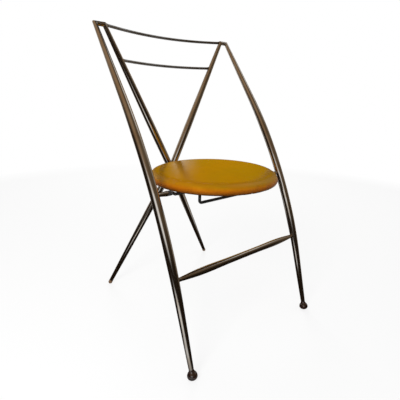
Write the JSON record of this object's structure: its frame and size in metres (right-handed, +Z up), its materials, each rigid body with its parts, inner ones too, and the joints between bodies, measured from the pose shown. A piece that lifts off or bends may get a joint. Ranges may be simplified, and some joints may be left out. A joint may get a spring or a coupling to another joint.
{
  "type": "folding chair",
  "caption": "Folding chair with a round padded seat on a slim tubular frame: bowed front legs, crossed rear tubes and thin curved back rails.",
  "frame": {"origin": "on the floor under the middle of the chair's outline", "axes": "+Z up; the chair faces -Y, so +Y is towards its back; +X is to the right for someone looking at its front"},
  "size_m": [0.4864, 0.5302, 0.8389],
  "materials": {
    "chrome": "polished chrome, lightly worn",
    "black_steel": "satin black",
    "zinc_steel": "zinc plated",
    "yellow_leather": "smooth, slightly glossy",
    "brown_plastic": "moulded, glossy",
    "tan_plastic": "moulded, rubbed",
    "black_plastic": "moulded, matt",
    "dark_board": "stained plywood"
  },
  "bodies": {
    "rear_frame": {"rear_tube_long": "chrome", "rear_tube_upper": "chrome", "rear_tube_lower": "chrome", "top_rail": "chrome", "second_rail": "chrome", "rear_plug_left": "tan_plastic", "rear_plug_right": "tan_plastic", "frame_pin_left": "zinc_steel", "frame_pin_right": "zinc_steel", "frame_washer_left": "black_plastic", "frame_washer_right": "black_plastic", "hinge_lug_left": "chrome", "hinge_lug_right": "chrome", "seat_pin": "zinc_steel"},
    "front_frame": {"front_leg_left": "chrome", "front_leg_right": "chrome", "stretcher": "chrome", "rod_stub_left": "chrome", "rod_stub_right": "chrome", "rod_bush_left": "black_plastic", "rod_bush_right": "black_plastic", "seat_rod": "black_steel", "front_foot_left": "brown_plastic", "front_foot_right": "brown_plastic"},
    "seat": {"seat_board": "dark_board", "seat_pad": "yellow_leather", "hinge_strap": "black_steel", "strap_screw_1": "zinc_steel", "strap_screw_2": "zinc_steel", "strap_screw_3": "zinc_steel", "rod_keeper_left": "black_plastic", "rod_keeper_right": "black_plastic", "keeper_screw_left": "zinc_steel", "keeper_screw_right": "zinc_steel"}
  },
  "joints": [
    {"name": "front_fold", "type": "hinge", "parent": "rear_frame", "child": "front_frame", "pos_m": [0, 0.1866, 0.833], "axis": [1, 0, 0], "range_deg": [0, 32]},
    {"name": "seat_flip", "type": "hinge", "parent": "rear_frame", "child": "seat", "pos_m": [0, 0.1306, 0.4179], "axis": [-1, 0, 0], "range_deg": [0, 86.1]}
  ],
  "couplings": [
    {"joint": "seat_flip", "follows": "front_fold", "ratio": 2.69}
  ]
}
